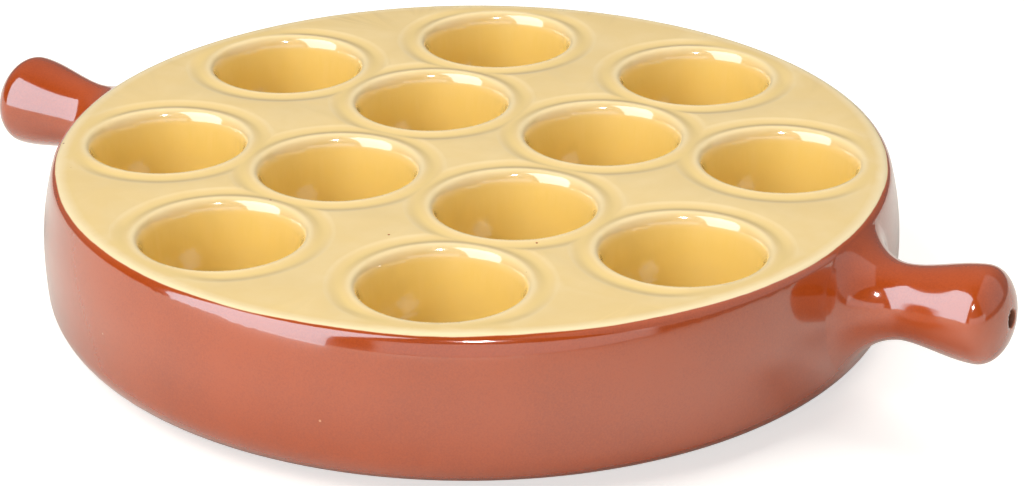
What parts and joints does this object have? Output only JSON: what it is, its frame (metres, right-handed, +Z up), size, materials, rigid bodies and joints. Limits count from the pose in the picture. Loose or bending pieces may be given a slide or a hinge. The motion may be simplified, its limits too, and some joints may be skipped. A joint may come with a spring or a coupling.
{
  "type": "escargot plate",
  "caption": "Round glazed stoneware snail dish with deep round wells in a flat top, a bulging wall and two knob handles.",
  "frame": {"origin": "centre of the foot ring, on the surface that the plate stands on", "axes": "+X towards one knob handle, the other is on -X; +Z up, out of the wells"},
  "size_m": [0.2844, 0.212, 0.0405],
  "materials": {
    "glazed_stoneware": "glossy red-brown glaze outside, butter-yellow glaze on the top and in the wells"
  },
  "bodies": {
    "root": {"escargot_plate": "glazed_stoneware"}
  },
  "joints": []
}
